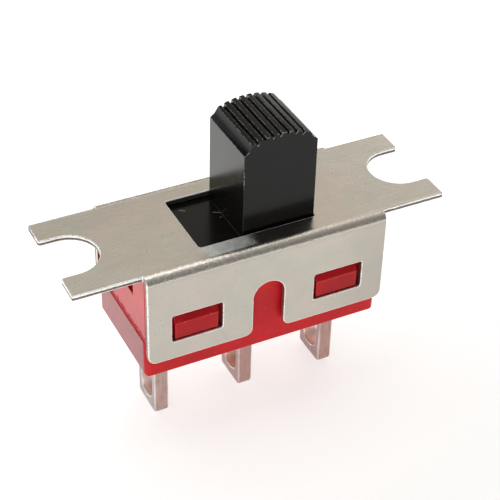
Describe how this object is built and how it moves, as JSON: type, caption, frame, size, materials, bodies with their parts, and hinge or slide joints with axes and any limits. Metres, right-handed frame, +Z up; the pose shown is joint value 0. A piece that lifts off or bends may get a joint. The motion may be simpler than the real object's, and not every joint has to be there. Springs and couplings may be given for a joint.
{
  "type": "slide switch",
  "caption": "Miniature panel-mount slide switch: ribbed knob in a folded metal frame with open fixing slots, moulded case and a row of solder lugs.",
  "frame": {"origin": "middle of the mounting frame's flat top face, which lies against the panel", "axes": "+X along the knob's travel, +Z up through the knob, +Y across the switch"},
  "size_m": [0.0194, 0.0068, 0.0159],
  "materials": {
    "frame_steel": "satin nickel-plated sheet, bright at the folds and punched edges",
    "case_plastic": "red moulded thermoset, smooth with a soft gloss",
    "knob_plastic": "black moulded nylon, fine satin gloss",
    "plunger_plastic": "natural moulded acetal",
    "spring_steel": "drawn wire",
    "rocker_copper": "stamped copper alloy",
    "contact_silver": "polished silver",
    "terminal_tin": "tinned copper alloy, stamped, warm grey",
    "seal_resin": "set amber resin"
  },
  "bodies": {
    "housing": {"mounting_frame": "frame_steel", "case": "case_plastic", "terminal_seal": "seal_resin", "terminal_left": "terminal_tin", "terminal_centre": "terminal_tin", "terminal_right": "terminal_tin", "fixed_contact_left": "contact_silver", "fixed_contact_right": "contact_silver"},
    "slider": {"actuator": "knob_plastic", "contact_spring": "spring_steel"},
    "plunger": {"plunger": "plunger_plastic"},
    "rocker": {"rocker": "rocker_copper", "rocker_contact_left": "contact_silver", "rocker_contact_right": "contact_silver"}
  },
  "joints": [
    {"name": "actuator_slide", "type": "slide", "parent": "housing", "child": "slider", "axis": [1, 0, 0], "range_m": [-0.0023, 0]},
    {"name": "plunger_slide", "type": "slide", "parent": "slider", "child": "plunger", "axis": [0, 0, 1], "range_m": [0, 0.0006], "stiffness_N_per_m": 400, "springref_m": -0.002, "deforming": ["contact_spring"]},
    {"name": "rocker_tilt", "type": "hinge", "parent": "housing", "child": "rocker", "pos_m": [0, 0, -0.00436], "axis": [0, 1, 0], "range_deg": [-12, 0]}
  ],
  "couplings": [
    {"joint": "rocker_tilt", "follows": "actuator_slide", "rad_per_m": 91}
  ]
}
